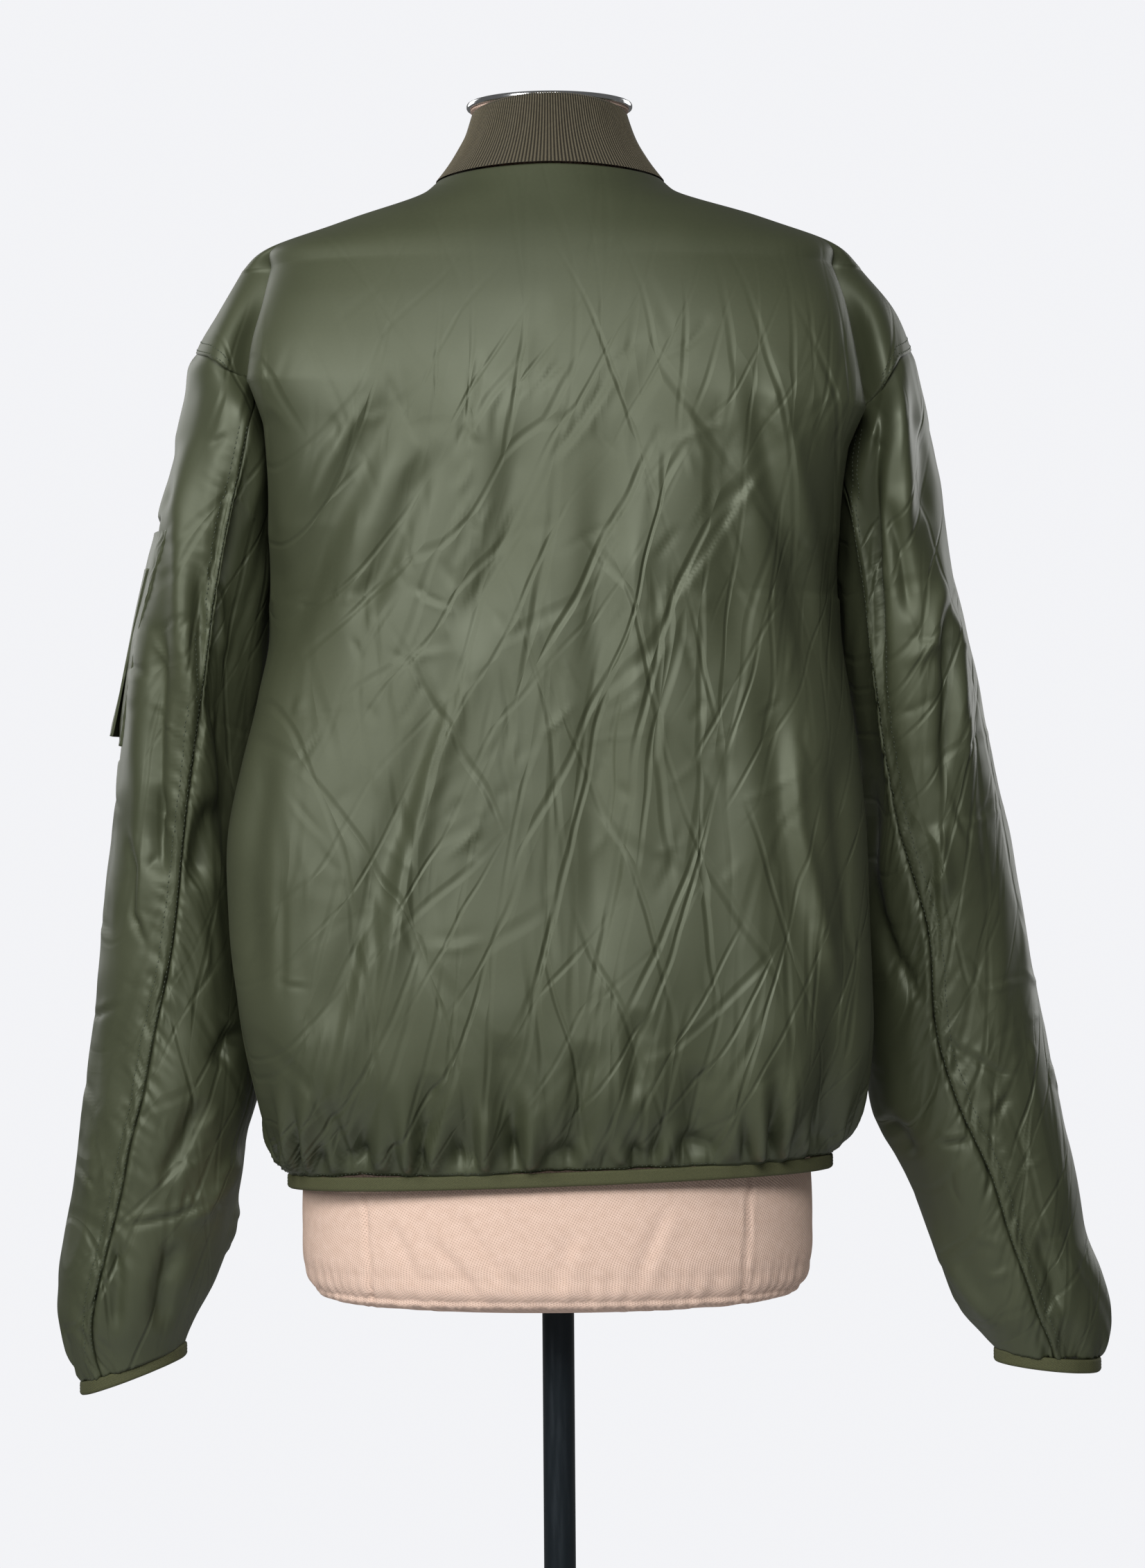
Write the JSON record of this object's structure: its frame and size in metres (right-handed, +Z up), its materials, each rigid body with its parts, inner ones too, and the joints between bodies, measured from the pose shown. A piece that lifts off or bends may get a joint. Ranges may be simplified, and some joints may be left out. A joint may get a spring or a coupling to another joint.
{
  "type": "padded bomber jacket on a dress form",
  "caption": "Lightly padded bomber jacket with a rib collar, gathered hem and cuffs and a sleeve pocket, zipped up on a limbless dress form on a pole stand.",
  "frame": {"origin": "centre of the stand base's underside, on the floor", "axes": "+Z up along the stand's pole, +X towards the wearer's right sleeve, +Y out of the jacket's front"},
  "size_m": [0.7245, 0.33, 1.5509],
  "materials": {
    "nylon": "deep olive nylon satin, softly shining and finely creased",
    "rib_knit": "dull olive-brown rib knit",
    "elastic_binding": "narrow ribbed elastic binding, dull olive",
    "zip_tape": "woven zip tape with its chain",
    "zip_metal": "dull brass-grey zip metal",
    "linen": "natural linen, matt, with a diagonal weave",
    "chrome": "polished chrome neck ring",
    "blued_steel": "blue-black steel, half gloss"
  },
  "bodies": {
    "jacket_on_form": {"back": "nylon", "front_left": "nylon", "front_right": "nylon", "upper_sleeve_left": "nylon", "upper_sleeve_right": "nylon", "under_sleeve_left": "nylon", "under_sleeve_right": "nylon", "sleeve_pocket": "nylon", "pocket_flap": "nylon", "collar": "rib_knit", "hem_binding": "elastic_binding", "cuff_binding_left": "elastic_binding", "cuff_binding_right": "elastic_binding", "zip_tape": "zip_tape", "zip_slider": "zip_metal", "dress_form": "linen", "neck_ring": "chrome", "stand_pole": "blued_steel", "stand_base": "blued_steel"},
    "pull": {"zip_pull": "zip_metal"}
  },
  "joints": [
    {"name": "zip_pull_hinge", "type": "hinge", "parent": "jacket_on_form", "child": "pull", "pos_m": [0, 0.09799, 1.4257], "axis": [1, 0, 0], "range_deg": [0, 150]}
  ]
}
